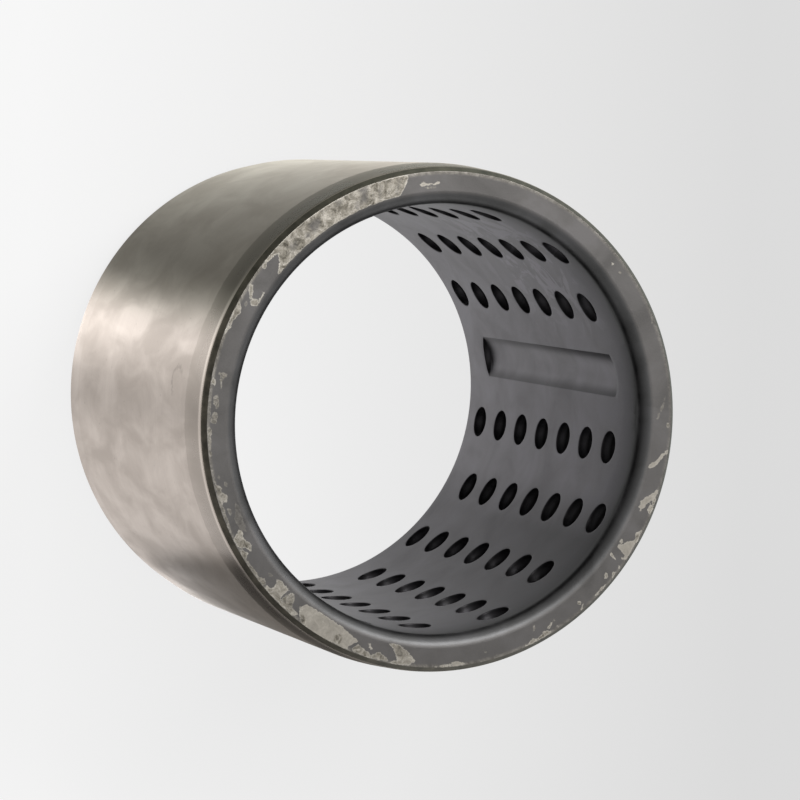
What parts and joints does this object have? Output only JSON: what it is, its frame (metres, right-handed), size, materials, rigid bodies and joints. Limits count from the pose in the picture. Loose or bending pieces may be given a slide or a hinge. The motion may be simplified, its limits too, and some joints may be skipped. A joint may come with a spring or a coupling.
{
  "type": "bushing",
  "caption": "Thick steel sleeve bushing with rows of blind grease pockets and one grease groove in its bore, for a heavy pin joint.",
  "frame": {"origin": "middle of the lower end face, on the axis of the bore", "axes": "+Z along the axis of the bore, upwards; +X towards the grease groove"},
  "size_m": [0.095, 0.095, 0.09],
  "materials": {
    "sleeve_steel": "outside ground bright, ends and bore with a dark grey phosphate coat, coat worn through in patches on one end"
  },
  "bodies": {
    "root": {"bushing": "sleeve_steel"}
  },
  "joints": []
}
